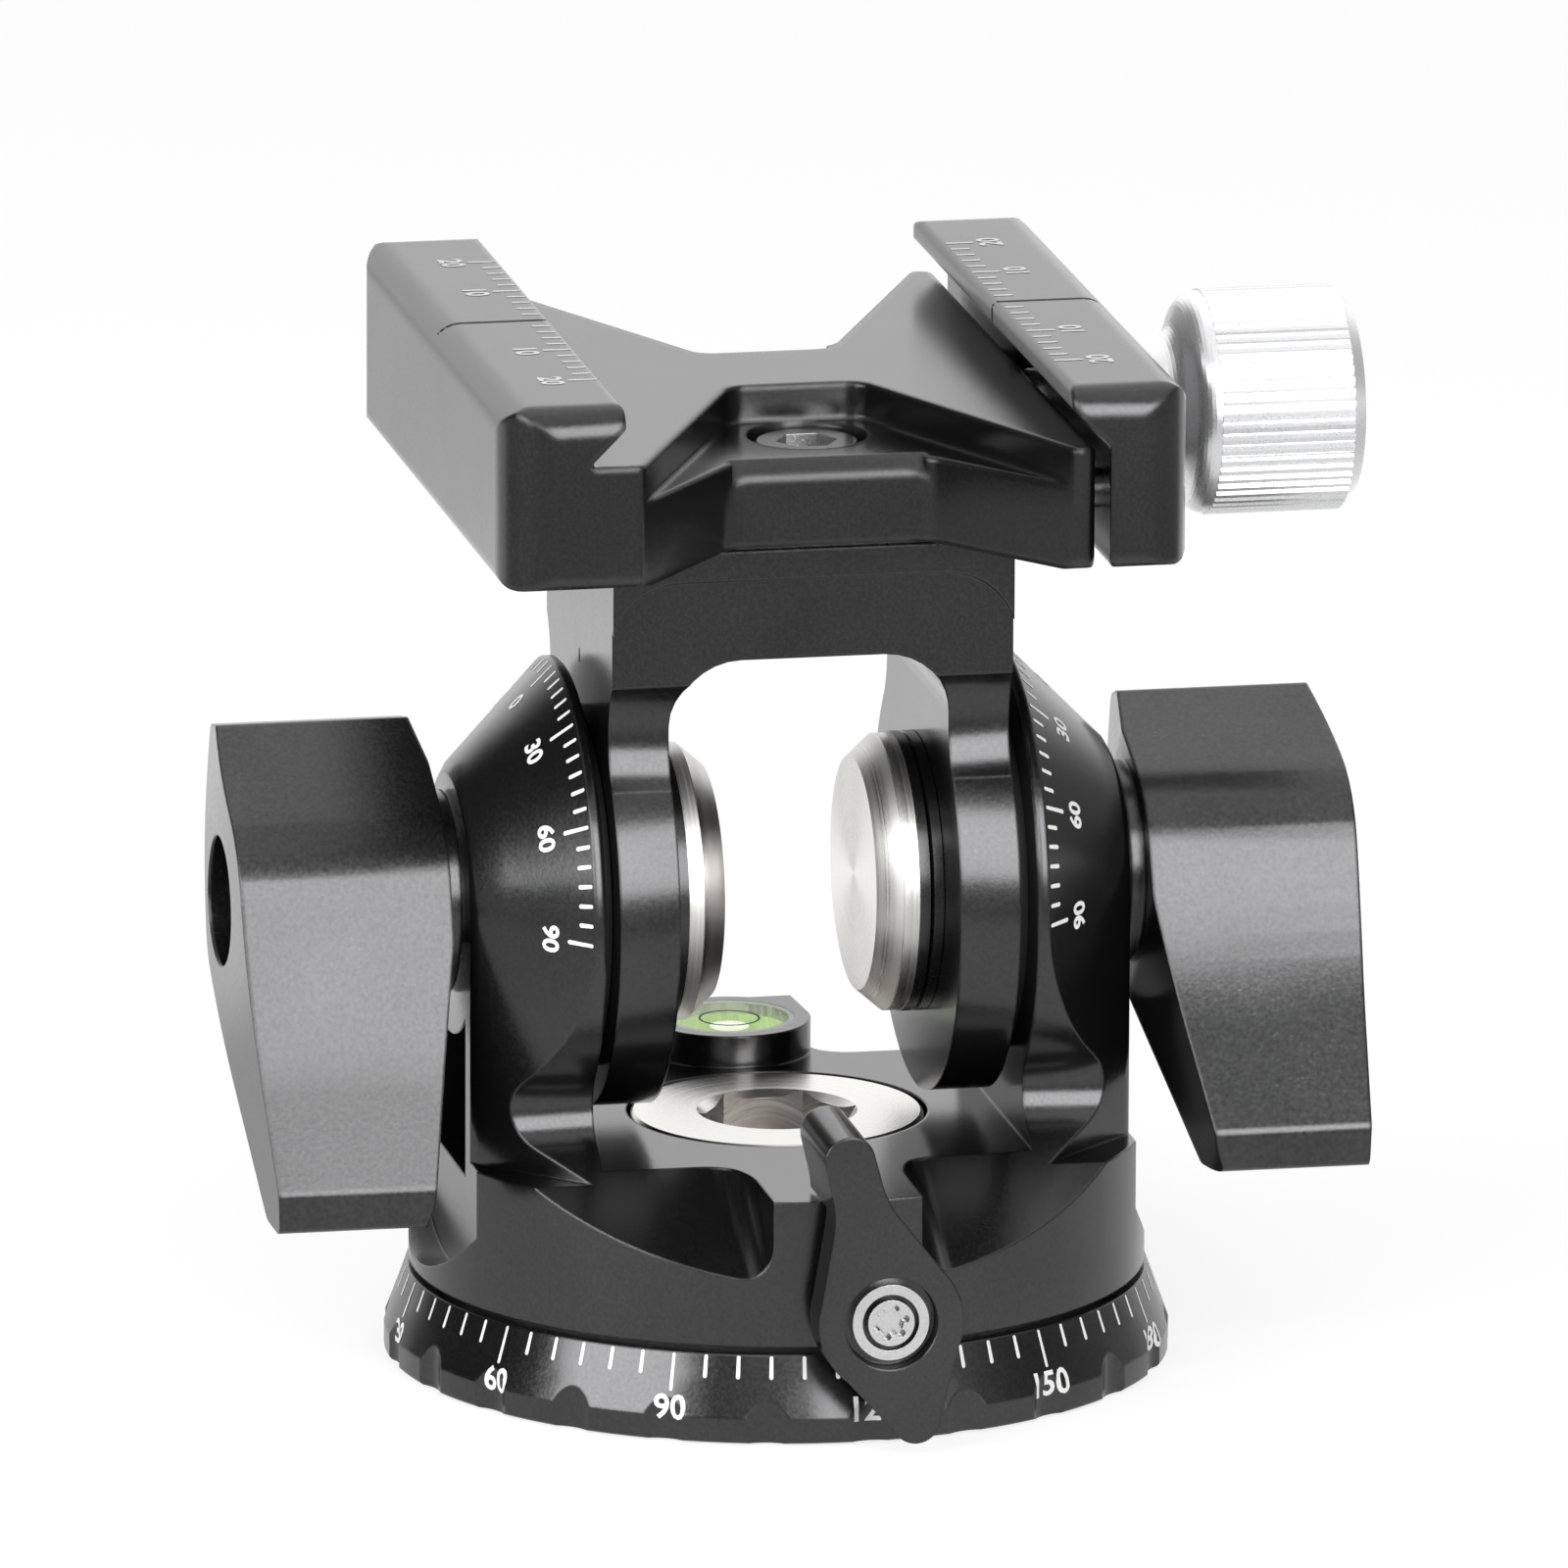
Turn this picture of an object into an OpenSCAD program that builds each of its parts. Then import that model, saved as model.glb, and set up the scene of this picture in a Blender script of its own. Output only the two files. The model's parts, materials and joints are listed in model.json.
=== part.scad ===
// Two-arm tilt head: a panning base, a tilting fork between two arms and a dovetail clamp.
// Origin at the middle of the underside, +Z up, +X towards the clamp knob, -Y towards the pan lever.

/* [Base] */
// Diameter over the fluted rim of the base
base_d = 58.9; // [50:0.1:70]
// Diameter of the base where the cone meets the seam
base_top_d = 55.6; // [46:0.1:66]
// Height of the upright rim
base_rim_h = 1.9; // [1.5:0.1:4]
// Height of the base up to the seam
base_h = 6.4; // [5:0.1:9]
// Number of grip flutes around the rim
flute_count = 24; // [12:1:36]
// Radius of one grip flute
flute_r = 3.2; // [2:0.05:5]
// Depth of one grip flute
flute_depth = 0.48; // [0.2:0.02:1.2]
// Diameter of the camera thread in the underside
thread_d = 9.525; // [6.35:0.005:9.525]
// Wall of the thread insert
insert_wall = 1.75; // [1:0.05:3]
// Diameter of the hub that the pan lock grips
hub_d = 28; // [24:0.1:32]
// Height of the hub top above the underside
hub_top = 12.2; // [11:0.1:13]

/* [Pan body] */
// Diameter of the turning body
pan_d = 55.2; // [46:0.1:66]
// Seam between base and turning body
seam = 0.5; // [0.3:0.05:0.8]
// Height of the drum shoulder
drum_top = 17.3; // [15:0.1:20]
// Height of the deck between the arms
deck_z = 18; // [16:0.1:20]
// Front and back edge of the deck
deck_y = 15.8; // [14:0.1:17]
// Slope of the front and back ramps
ramp_angle = 29.2; // [20:0.1:36]
// Fillet between ramp and arm
neck_r = 3.2; // [2:0.1:5]
// Width of the front and back boss
boss_w = 11.2; // [9:0.1:12]
// Fillet between boss and deck edge
boss_fillet = 3.6; // [2:0.1:5]
// Fillet between boss and ramp
ramp_fillet = 2.6; // [1:0.1:4]

/* [Arms] */
// Height of the tilt axis
tilt_z = 36; // [34:0.1:40]
// Clear width between the arms
arm_gap = 32.6; // [31:0.1:35]
// Width over the outer flats of the arms
arm_w = 50.1; // [47:0.1:51]
// Radius of the arm rim
arm_r = 17.25; // [16:0.05:19]
// Width of the plain rim beside the tilt scale
arm_rim = 0.8; // [0.4:0.1:1.5]
// Half width of the pocket in each outer flat
pocket_half = 7; // [4:0.1:8]
// Lower edge of that pocket
pocket_z = 15.7; // [14:0.1:17]
// Depth of that pocket
pocket_depth = 4.4; // [2:0.1:5]
// Radius of the plain disc above the pocket
pocket_disc_r = 10.7; // [9.5:0.1:12]
// Lowest point of the outer flat on the drum
flat_z = 7.7; // [7.2:0.1:9]

/* [Pan axle] */
// Diameter of the axle flange
axle_flange_d = 22; // [19:0.1:24]
// Thickness of the axle flange
axle_flange_t = 3; // [2.4:0.1:3.2]
// Diameter of the axle shank
axle_d = 14; // [13:0.1:15]
// Hexagon socket across flats
axle_hex = 10.5; // [8:0.1:10.8]
// Depth of the hexagon socket
axle_hex_depth = 5; // [3:0.1:8]
// Thickness of the thin washers
washer_t = 0.45; // [0.3:0.01:0.45]

/* [Level] */
// Distance of the bubble level behind the axis
level_y = 18.5; // [17.9:0.1:19.5]
// Outer diameter of the level cup
level_d = 9.8; // [8:0.1:10.6]
// Radius of the level housing
level_boss_r = 6.15; // [6:0.05:6.6]
// Height of the housing above the deck
level_h = 2.5; // [2:0.1:3]
// Back face of the housing
level_back = 24.1; // [23.9:0.1:26]

/* [Pan lock] */
// Sideways place of the lever pivot
lever_x = 2; // [1:0.1:2.5]
// Height of the lever pivot
lever_z = 10.1; // [9.9:0.05:10.4]
// Resting lean of the lever
lever_lean = 14.2; // [8:0.1:15]
// Front face of the lever
lever_front = 33.6; // [33:0.1:35]
// Thickness of the lever plate
lever_t = 3.6; // [2.8:0.1:3.6]
// Radius of the lever around its pivot
lever_hub_r = 5.45; // [5:0.05:5.8]
// Reach of the finger end above the pivot
lever_up = 14.7; // [13.5:0.1:15]
// Reach of the tail below the pivot
lever_down = 9.5; // [8.5:0.1:9.6]
// Depth of the finger, front to back
finger_depth = 9.6; // [8:0.1:9.6]
// Diameter of the lock stud
stud_d = 4; // [3:0.1:4.4]

/* [Fork] */
// Width over the fork legs
fork_w = 30.3; // [28:0.1:30.6]
// Clear width of the fork window
window_w = 21.2; // [20.4:0.1:22]
// Top edge of the fork window
window_top = 55.9; // [54:0.1:58]
// Corner radius of the fork window
window_r = 5.2; // [3:0.1:8]
// Radius of the leg discs
leg_r = 16.5; // [15:0.05:17]
// Depth of the fork bridge, front to back
bridge_d = 26; // [24:0.1:27]
// Step of the outlined face on the bridge
bridge_step = 0.4; // [0.2:0.05:0.8]
// Upper edge of the outlined face
bridge_line = 62; // [60:0.1:63]
// Top face of the fork
fork_top = 64.6; // [63.5:0.1:65]

/* [Pivots] */
// Place of the pivot cap face beside the middle plane
cap_face = 5.75; // [5:0.05:6.2]
// Radius of the flat face of a pivot cap
cap_face_r = 8.8; // [8:0.05:9.4]
// Radius of the cap rim
cap_r = 10.4; // [9.8:0.05:10.8]
// Sleeve diameter in the fork leg
sleeve_d = 13; // [12:0.1:14]
// Shank diameter in the arm
shank_d = 10; // [9:0.1:11]
// Thread diameter in the knob
pivot_thread_d = 8; // [6:0.1:8.5]
// Radius of the friction washer
friction_r = 13.5; // [12:0.1:15]

/* [Tilt knobs] */
// Gap between an arm and its knob
knob_gap = 0.35; // [0.3:0.05:0.8]
// Outer face of a knob
knob_out = 42.4; // [41:0.1:44]
// Resting turn of the right knob beside the left one
knob_turn = -6.2; // [-15:0.1:15]
// Diameter of the hub boss
knob_boss_d = 15.2; // [13:0.1:16]
// Diameter of the bore in the outer face
knob_bore_d = 9.8; // [9.6:0.1:10.6]

/* [Clamp] */
// Length of the clamp
clamp_l = 60; // [50:0.5:64]
// Height of the clamp's underside above the fork
clamp_gap = 1.1; // [0.8:0.1:2]
// Height of the clamp
clamp_h = 13.65; // [13:0.05:15]
// Dovetail floor above the clamp's underside
floor_h = 9.3; // [9:0.05:9.6]
// Ledge beside the web above the clamp's underside
ledge_h = 6.45; // [5.8:0.05:7]
// Outer face of the fixed jaw
fixed_out = 26.45; // [24.5:0.05:28]
// Lip of the fixed jaw
fixed_lip = 17.4; // [16.6:0.1:18]
// Right-hand end of the clamp base
base_end = 17.9; // [17.4:0.1:18.2]
// Inner face of the sliding jaw
jaw_in = 18.9; // [18.6:0.1:19.2]
// Outer face of the sliding jaw
jaw_out = 25.2; // [24.8:0.1:27]
// Height of the dovetail slope
dove_h = 2.8; // [2.4:0.05:3]
// Web width at its narrow middle, front to back
web_mid = 11; // [9.5:0.1:12]
// Spacing of the two mounting screws
screw_pitch = 20.4; // [20:0.1:21]
// Head diameter of the mounting screws
screw_head_d = 8.6; // [7.5:0.1:9]
// Thread diameter of the mounting screws
screw_d = 4; // [3:0.1:4.4]
// Clamp screw axis above the clamp's underside
clamp_axis_h = 5.4; // [5.2:0.05:5.6]
// Thread diameter of the clamp screw
clamp_thread_d = 6; // [5:0.1:6]
// Diameter of a guide pin
pin_d = 3; // [2:0.1:3]
// Spacing of the guide pins
pin_pitch = 40; // [38:0.5:42]

/* [Clamp knob] */
// Diameter over the knurl
grip_d = 16.9; // [14:0.1:18]
// Start of the knurl
grip_x0 = 32; // [31.5:0.1:34]
// Outer end of the clamp knob
grip_x1 = 43.1; // [42:0.1:46]
// Number of knurl ridges
grip_count = 60; // [40:1:72]
// Depth of the knurl
grip_depth = 0.32; // [0.15:0.01:0.5]
// Diameter of the neck at the jaw
grip_neck_d = 9.4; // [8:0.1:10]

/* [Hidden] */
$fn = 72;
// radial clearance of a running fit, and gap between sliding faces
run = 0.05;
pan_z0 = base_h + seam;
pan_r = pan_d / 2;
rim_r = base_d / 2;
insert_r = thread_d / 2 + insert_wall;
insert_h = base_h - 0.6;
cup_floor = deck_z - axle_flange_t - washer_t - run;
hub_room = hub_top + 0.3;
arm_in = arm_gap / 2;
arm_out = arm_w / 2;
leg_in = window_w / 2;
leg_out = fork_w / 2;
cap_back = cap_face + 3;
knob_in = arm_out + knob_gap;
bolt_end = knob_out - 6.2;
// screw in the end of each pivot bolt
knob_screw_r = 2;
knob_screw_l = 6.5;
knob_head_h = 2.5;
knob_key = 3;
// the finger starts above the boss, so that the lever swings clear of it
finger_z0 = 9;
finger_w = 4.6;
lever_back = lever_front - lever_t;
lever_boss_r = lever_z - base_h - 0.5;
lever_boss_t = 3.8;
// seat of the cup washer, floor below it, and the small screw
lever_seat_r = 3.5;
lever_seat_t = 1.4;
lever_floor = 2.6;
lever_screw_r = 1.2;
shoe_y = 18;
clamp_z0 = fork_top + clamp_gap;
clamp_z1 = clamp_z0 + clamp_h;
floor_z = clamp_z0 + floor_h;
ledge_z = clamp_z0 + ledge_h;
clamp_axis_z = clamp_z0 + clamp_axis_h;
// half widths of the clamp notches at the ends and at the web
notch_out = 17;
notch_in = 5;
low_notch_out = 17.8;
low_notch_in = 7.3;
// front of the flange that carries the mounting screws
flange_y = 18.3;
screw_seat = 2.2;
fixed_root = fixed_lip + dove_h;
jaw_lip = jaw_in - dove_h;
clip_x0 = jaw_in + 0.3;
clip_t = 1;
clip_in_r = 2.4;
clip_out_r = 4.7;
pin_in = 11.2;
// room beyond each guide pin
pin_room = 0.6;
pin_z = clamp_z0 + 3.9;
level_top = deck_z + level_h;
level_wall = 0.4;
cup_z = level_top - 3.3;
fluid_z = cup_z + 0.5;
lens_t = 0.8;
lens_z = level_top - lens_t - 0.1;

function unit(v) = v / norm(v);
function turn(a, r) = [r * cos(a), r * sin(a)];
function arc(c, r, a0, a1, n) = [for (i = [0:n]) c + turn(a0 + (a1 - a0) * i / n, r)];
function corner(p, c, q, r, n) =
    let (u = unit(p - c), v = unit(q - c))
    let (half = acos(u * v) / 2)
    let (m = c + unit(u + v) * (r / sin(half)))
    let (s = c + u * (r / tan(half)) - m, e = c + v * (r / tan(half)) - m)
    let (a0 = atan2(s[1], s[0]), a1 = atan2(e[1], e[0]))
    let (d = (a1 - a0 + 540) % 360 - 180)
    arc(m, r, a0, a0 + d, n);
function rounded(pts, radii, n = 6) =
    let (k = len(pts))
    [for (i = [0:k - 1])
        each (radii[i] > 0
            ? corner(pts[(i + k - 1) % k], pts[i], pts[(i + 1) % k], radii[i], n)
            : [pts[i]])];

module along_x(x0, x1) {
    translate([x0, 0, 0]) rotate([90, 0, 90]) linear_extrude(height = x1 - x0) children();
}
module along_y(y0, y1) {
    translate([0, y1, 0]) rotate([90, 0, 0]) linear_extrude(height = y1 - y0) children();
}
module x_cyl(r, x0, x1) {
    translate([x0, 0, 0]) rotate([0, 90, 0]) cylinder(r = r, h = x1 - x0);
}
module y_cyl(r, y0, y1) {
    translate([0, y0, 0]) rotate([-90, 0, 0]) cylinder(r = r, h = y1 - y0);
}
module x_turn(pts) {
    rotate([0, 90, 0]) rotate_extrude() polygon(pts);
}
module ring(r0, r1, z0, z1) {
    rotate_extrude() polygon([[r0, z0], [r1, z0], [r1, z1], [r0, z1]]);
}
module side(s) {
    mirror([s < 0 ? 1 : 0, 0, 0]) children();
}
module both_ends() {
    children();
    mirror([0, 1, 0]) children();
}

// base

module base_ring() {
    color([0.12, 0.12, 0.13])
    difference() {
        rotate_extrude() polygon([
            [insert_r, 0], [rim_r - 0.15, 0], [rim_r, 0.15], [rim_r, base_rim_h],
            [base_top_d / 2, base_h], [hub_d / 2, base_h], [hub_d / 2, hub_top],
            [axle_d / 2, hub_top], [axle_d / 2, insert_h], [insert_r, insert_h]
        ]);
        for (i = [0:flute_count - 1])
            rotate([0, 0, i * 360 / flute_count + 2.5])
                translate([rim_r - flute_depth + flute_r, 0, -1])
                    cylinder(r = flute_r, h = base_h);
    }
}

module thread_insert() {
    color([0.75, 0.75, 0.75])
    rotate_extrude() polygon([
        [thread_d / 2, 0], [insert_r, 0], [insert_r, insert_h], [thread_d / 2, insert_h]
    ]);
}

module pan_axle() {
    hex_r = axle_hex / 2 / cos(30);
    color([0.82, 0.82, 0.82])
    difference() {
        rotate_extrude() polygon([
            [0, insert_h], [axle_d / 2, insert_h], [axle_d / 2, deck_z - axle_flange_t],
            [axle_flange_d / 2, deck_z - axle_flange_t], [axle_flange_d / 2, deck_z - 0.25],
            [axle_flange_d / 2 - 0.25, deck_z], [0, deck_z]
        ]);
        translate([0, 0, deck_z - axle_hex_depth])
            cylinder(r = hex_r, h = axle_hex_depth + 1, $fn = 6);
        rotate_extrude() polygon([
            [0, deck_z - 1], [hex_r - 0.7, deck_z - 0.5], [hex_r + 0.1, deck_z + 0.1], [0, deck_z + 0.1]
        ]);
    }
}

module axle_washer() {
    color([0.7, 0.55, 0.3])
    ring(axle_d / 2 + 0.3, axle_flange_d / 2 - 0.2, cup_floor + run, deck_z - axle_flange_t);
}

module pan_washer() {
    color([0.9, 0.9, 0.88])
    ring(hub_d / 2 + 2, pan_r - 2.1, base_h, pan_z0 - run);
}

// turning body

function neck_mid() =
    let (u = turn(-ramp_angle, 1))
    let (d = [deck_y + neck_r * sin(ramp_angle), deck_z + neck_r * cos(ramp_angle) - tilt_z])
    let (t = -d * u + sqrt(pow(d * u, 2) - d * d + pow(arm_r + neck_r, 2)))
    d + t * u + [0, tilt_z];
function half_profile() =
    let (m = neck_mid())
    let (far = pan_r + 1)
    concat(
        [[far, pan_z0], [far, deck_z - (far - deck_y) * tan(ramp_angle)]],
        arc(m, neck_r, 270 - ramp_angle, atan2(tilt_z - m[1], -m[0]), 12),
        [[arm_r * 0.7, tilt_z]]
    );
function flip(pts) = [for (i = [len(pts) - 1:-1:0]) [-pts[i][0], pts[i][1]]];

module side_profile() {
    polygon(concat(half_profile(), flip(half_profile())));
    translate([0, tilt_z]) circle(r = arm_r);
}
module arm_solid() {
    edge = 0.5;
    slope_end = arm_out - edge;
    small_r = arm_r - (slope_end - arm_in - arm_rim);
    translate([0, 0, tilt_z])
        x_turn([
            [0, arm_in], [arm_r - 0.3, arm_in], [arm_r, arm_in + 0.3], [arm_r, arm_in + arm_rim],
            [small_r, slope_end], [small_r - 0.9, arm_out], [0, arm_out]
        ]);
    translate([0, 0, pan_z0])
        linear_extrude(height = tilt_z - pan_z0)
            polygon([
                [arm_in, -arm_r + 0.3], [arm_in + 0.3, -arm_r], [arm_in + arm_rim, -arm_r],
                [slope_end, -small_r], [arm_out, -small_r + 0.9], [arm_out, small_r - 0.9],
                [slope_end, small_r], [arm_in + arm_rim, arm_r], [arm_in + 0.3, arm_r],
                [arm_in, arm_r - 0.3]
            ]);
}
module boss_plan() {
    w = boss_w / 2;
    polygon(rounded(
        [[-arm_in - 1, -5], [-arm_in - 1, -deck_y], [-w, -deck_y], [-w, -pan_r - 2],
         [w, -pan_r - 2], [w, -deck_y], [arm_in + 1, -deck_y], [arm_in + 1, -5]],
        [0, 0, boss_fillet, 0, 0, boss_fillet, 0, 0]));
}
module floor_fillet() {
    w = boss_w / 2;
    translate([0, -deck_y, deck_z])
        rotate([90 + ramp_angle, 0, 0])
            linear_extrude(height = pan_r)
                difference() {
                    translate([w - 1, -1]) square(ramp_fillet + 1);
                    translate([w + ramp_fillet, ramp_fillet]) circle(r = ramp_fillet);
                }
}
module level_plan() {
    taper = 0.35;
    translate([0, level_y]) circle(r = level_boss_r);
    polygon([
        [-level_boss_r, level_y], [level_boss_r, level_y],
        [level_boss_r - taper, level_back], [taper - level_boss_r, level_back]
    ]);
}
module pan_solid() {
    intersection() {
        along_x(-pan_r, pan_r) side_profile();
        union() {
            translate([0, 0, pan_z0]) cylinder(r = pan_r, h = drum_top - pan_z0);
            intersection() {
                translate([0, 0, pan_z0]) cylinder(r = pan_r, h = deck_z - pan_z0);
                translate([-arm_in - 1, -pan_r, pan_z0]) cube([arm_gap + 2, pan_d, 20]);
            }
            side(1) arm_solid();
            side(-1) arm_solid();
        }
    }
    intersection() {
        translate([0, 0, pan_z0]) cylinder(r = pan_r, h = level_top - pan_z0);
        union() {
            translate([0, 0, pan_z0])
                linear_extrude(height = deck_z - pan_z0) both_ends() boss_plan();
            intersection() {
                cylinder(r = pan_r, h = deck_z);
                for (s = [-1, 1]) side(s) both_ends() floor_fillet();
            }
            translate([0, 0, pan_z0]) linear_extrude(height = level_top - pan_z0) level_plan();
        }
    }
}
module pan_cuts() {
    // axle seat and hub room
    translate([0, 0, cup_floor]) cylinder(r = axle_flange_d / 2 + 0.3, h = 20);
    translate([0, 0, pan_z0 - 1]) cylinder(r = axle_d / 2 + run, h = 20);
    translate([0, 0, pan_z0 - 1]) cylinder(r = hub_d / 2 + 0.5, h = hub_room - pan_z0 + 1);
    // level seat
    translate([0, level_y, cup_z]) cylinder(r = level_d / 2, h = 5);
    for (s = [-1, 1]) side(s) {
        translate([0, 0, tilt_z]) x_cyl(shank_d / 2, arm_in - 1, arm_out + 1);
        // outer flat on the drum, and the pocket in it
        translate([0, 0, flat_z + arm_r]) x_cyl(arm_r, arm_out, pan_r + 1);
        difference() {
            translate([arm_out - pocket_depth, -pocket_half, pocket_z])
                cube([10, 2 * pocket_half, tilt_z - pocket_z]);
            translate([0, 0, tilt_z]) x_cyl(pocket_disc_r, arm_out - 10, arm_out + 10);
        }
    }
    // lever seat, stud and shoe bore
    translate([lever_x, 0, lever_z]) {
        y_cyl(lever_boss_r + 0.3, -pan_r - 3, -lever_back + lever_boss_t + 0.3);
        y_cyl(stud_d / 2 + run, -pan_r - 3, -hub_d / 2 + 2);
    }
}

module pan_body() {
    color([0.11, 0.11, 0.12])
    difference() {
        pan_solid();
        pan_cuts();
    }
}

module level_cup() {
    color([0.85, 0.85, 0.85])
    rotate_at_level() polygon([
        [0, cup_z], [level_d / 2, cup_z], [level_d / 2, level_top],
        [level_d / 2 - level_wall, level_top], [level_d / 2 - level_wall, fluid_z], [0, fluid_z]
    ]);
}
module rotate_at_level() {
    translate([0, level_y, 0]) rotate_extrude() children();
}
module level_fluid() {
    color([0.5, 0.85, 0.2])
    translate([0, level_y, fluid_z]) cylinder(r = level_d / 2 - level_wall, h = lens_z - fluid_z);
}
module level_lens() {
    color([0.85, 0.95, 0.9, 0.5])
    translate([0, level_y, lens_z]) cylinder(r = level_d / 2 - level_wall, h = lens_t);
}
module pan_lock_shoe() {
    color([0.72, 0.6, 0.3])
    translate([lever_x, 0, lever_z]) y_cyl(stud_d / 2, -shoe_y, -hub_d / 2 - 0.3);
}

// pivots

module pivot_bolt() {
    color([0.8, 0.8, 0.8])
    translate([0, 0, tilt_z])
    difference() {
        x_turn([
            [0, cap_face], [cap_face_r, cap_face], [cap_r, cap_face + 1.85], [cap_r, cap_back],
            [sleeve_d / 2, cap_back], [sleeve_d / 2, arm_in], [shank_d / 2, arm_in],
            [shank_d / 2, arm_out], [pivot_thread_d / 2, arm_out], [pivot_thread_d / 2, bolt_end],
            [0, bolt_end]
        ]);
        x_cyl(knob_screw_r, bolt_end - knob_screw_l - 0.5, bolt_end + 1);
    }
}
module pivot_bolt_left() { side(-1) pivot_bolt(); }
module pivot_bolt_right() { side(1) pivot_bolt(); }

module pressure_ring() {
    ring_r = cap_r + 0.1;
    mid = (cap_back + leg_in) / 2;
    color([0.1, 0.1, 0.1])
    translate([0, 0, tilt_z])
    x_turn([
        [sleeve_d / 2 + 0.3, cap_back], [ring_r, cap_back], [ring_r, mid - 0.15],
        [ring_r - 0.35, mid], [ring_r, mid + 0.15], [ring_r, leg_in - run],
        [sleeve_d / 2 + 0.3, leg_in - run]
    ]);
}
module pressure_ring_left() { side(-1) pressure_ring(); }
module pressure_ring_right() { side(1) pressure_ring(); }

module friction_washer() {
    color([0.16, 0.16, 0.16])
    translate([0, 0, tilt_z])
    x_turn([
        [sleeve_d / 2 + 0.3, leg_out + run], [friction_r, leg_out + run],
        [friction_r, arm_in], [sleeve_d / 2 + 0.3, arm_in]
    ]);
}
module friction_washer_left() { side(-1) friction_washer(); }
module friction_washer_right() { side(1) friction_washer(); }

module knob_screw() {
    head_r = knob_bore_d / 2 - 0.35;
    color([0.3, 0.3, 0.3])
    translate([0, 0, tilt_z])
    difference() {
        x_turn([
            [0, bolt_end - knob_screw_l], [knob_screw_r, bolt_end - knob_screw_l],
            [knob_screw_r, bolt_end], [head_r, bolt_end], [head_r, bolt_end + knob_head_h - 0.7],
            [head_r - 0.85, bolt_end + knob_head_h], [0, bolt_end + knob_head_h]
        ]);
        translate([bolt_end + 1, 0, 0])
            rotate([0, 90, 0]) cylinder(r = knob_key / 2 / cos(30), h = knob_head_h, $fn = 6);
    }
}
module knob_screw_left() { side(-1) knob_screw(); }
module knob_screw_right() { side(1) knob_screw(); }

// pan lever

module at_lever() {
    translate([lever_x, 0, lever_z]) rotate([0, -lever_lean, 0]) children();
}
module lever_outline() {
    tip_r = 1.8;
    circle(r = lever_hub_r);
    polygon(rounded(
        [[-1.85, lever_up], [1.85, lever_up], [1.95, 9], [4.85, 2.4], [-4.85, 2.4], [-1.95, 9]],
        [1.75, 1.75, 7, 0, 0, 7]));
    polygon([
        [-lever_hub_r * 0.955, -lever_hub_r * 0.297], [-tip_r * 0.955, tip_r - lever_down - tip_r * 0.297],
        [tip_r * 0.955, tip_r - lever_down - tip_r * 0.297], [lever_hub_r * 0.955, -lever_hub_r * 0.297]
    ]);
    translate([0, tip_r - lever_down]) circle(r = tip_r);
}
module pan_lever() {
    color([0.11, 0.11, 0.12])
    at_lever()
    difference() {
        union() {
            along_y(-lever_front, -lever_back) lever_outline();
            intersection() {
                along_y(-lever_front, -lever_front + finger_depth) lever_outline();
                translate([-finger_w / 2, -lever_front, finger_z0]) cube([finger_w, 20, 20]);
            }
            y_cyl(lever_boss_r, -lever_back - 0.5, -lever_back + lever_boss_t);
        }
        y_cyl(lever_seat_r, -lever_front - 1, -lever_front + lever_seat_t);
        y_cyl(lever_screw_r + run, -lever_front, -lever_back);
        y_cyl(stud_d / 2, -lever_front + lever_floor, -lever_back + lever_boss_t + 1);
    }
}
module pan_lock_stud() {
    color([0.6, 0.6, 0.6])
    at_lever()
    difference() {
        y_cyl(stud_d / 2, -lever_front + lever_floor, -shoe_y - run);
        y_cyl(lever_screw_r, -lever_front + 2, -lever_front + 8);
    }
}
module pan_lever_washer() {
    color([0.85, 0.85, 0.85])
    at_lever()
    difference() {
        y_cyl(2.88, -lever_front + 0.3, -lever_front + lever_seat_t);
        y_cyl(2.13, -lever_front, -lever_front + 1);
        y_cyl(lever_screw_r + run, -lever_front, -lever_front + 2);
    }
}
module pan_lever_screw() {
    color([0.85, 0.85, 0.85])
    at_lever()
    difference() {
        union() {
            y_cyl(1.75, -lever_front + 0.15, -lever_front + 1);
            y_cyl(lever_screw_r, -lever_front + 0.9, -lever_front + 7.5);
        }
        y_cyl(0.95, -lever_front - 1, -lever_front + 0.8);
        for (i = [0:5])
            rotate([0, i * 60, 0]) translate([1.1, 0, 0]) y_cyl(0.3, -lever_front - 1, -lever_front + 0.8);
    }
}

// tilt knobs

module knob_profile() {
    polygon(rounded(
        [[5.2, 12.2], [-7.9, 5.9], [-11.75, -6.3], [-18.3, -18.2], [-18, -21.3],
         [-13.6, -21.1], [5.3, -5.2], [7.5, 4.6], [8.6, 11.5]],
        [0.9, 9, 60, 1.2, 1, 1.5, 5, 6, 0.9]));
}
module knob_plan() {
    polygon(rounded(
        [[-15.5, knob_in + 2.2], [-7.5, knob_in + 1.1], [8, knob_in + 1.1], [28.5, knob_in + 4.3],
         [28.5, knob_out - 1.4], [7, knob_out], [-7, knob_out], [-15.5, knob_out - 1]],
        [1, 6, 6, 2.6, 1, 180, 90, 1]));
}
module tilt_knob() {
    color([0.11, 0.11, 0.12])
    translate([0, 0, tilt_z])
    difference() {
        union() {
            intersection() {
                along_x(knob_in + 1, knob_out + 1) knob_profile();
                rotate([47.5, 0, 0])
                    translate([0, 0, -25]) mirror([1, -1, 0])
                        linear_extrude(height = 50) mirror([1, 0, 0]) knob_plan();
            }
            x_cyl(knob_boss_d / 2, knob_in, knob_in + 4);
        }
        x_cyl(pivot_thread_d / 2 + run, knob_in - 1, knob_out);
        x_cyl(knob_bore_d / 2, bolt_end - 0.3, knob_out + 1);
    }
}
module tilt_knob_left() { side(-1) tilt_knob(); }
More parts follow.
